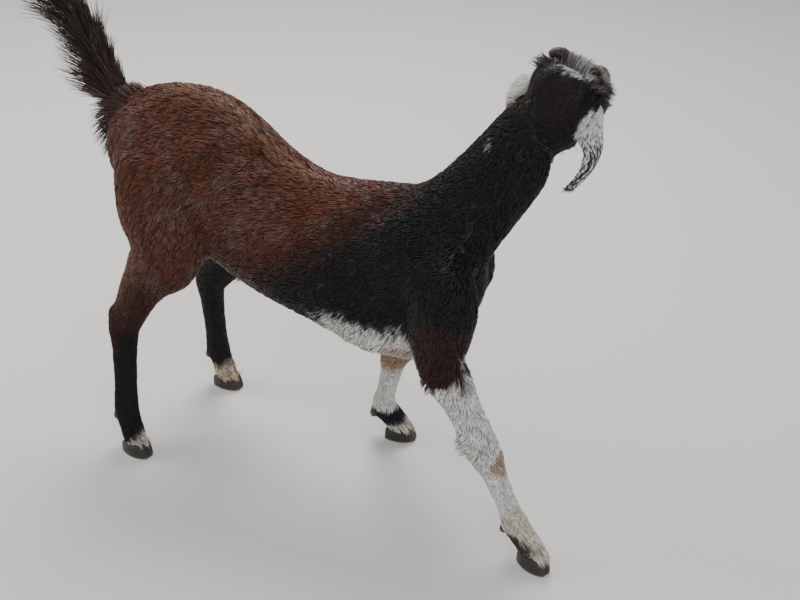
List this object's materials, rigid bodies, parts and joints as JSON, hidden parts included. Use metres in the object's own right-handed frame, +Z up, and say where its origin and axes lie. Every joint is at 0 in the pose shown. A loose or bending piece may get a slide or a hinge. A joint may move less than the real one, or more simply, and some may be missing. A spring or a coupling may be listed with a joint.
{
  "type": "beetal goat",
  "caption": "Young billy goat with long hanging ears and horn stubs, standing with a foreleg stretched out, tail up and head turned away to its left.",
  "frame": {"origin": "on the floor, below the middle of the whole goat's box", "axes": "+X from the rump towards the chest, +Y to the goat's left, +Z up"},
  "size_m": [0.9463, 0.3203, 0.7227],
  "materials": {
    "chestnut_coat": "matte",
    "black_coat": "satin",
    "white_coat": "matte",
    "speckled_coat": "matte",
    "horn": "matte",
    "hoof": "satin",
    "eye": "gloss"
  },
  "bodies": {
    "root": {"torso": "chestnut_coat", "neck": "black_coat", "head": "black_coat", "tail": "black_coat", "leg_front_right": "white_coat", "leg_front_left": "white_coat", "leg_hind_right": "chestnut_coat", "leg_hind_left": "chestnut_coat", "ear_right": "speckled_coat", "ear_left": "speckled_coat", "horn_right": "horn", "horn_left": "horn", "eye_right": "eye", "eye_left": "eye", "hoof_front_right_inner": "hoof", "hoof_front_right_outer": "hoof", "hoof_front_left_inner": "hoof", "hoof_front_left_outer": "hoof", "hoof_hind_right_inner": "hoof", "hoof_hind_right_outer": "hoof", "hoof_hind_left_inner": "hoof", "hoof_hind_left_outer": "hoof"}
  },
  "joints": []
}
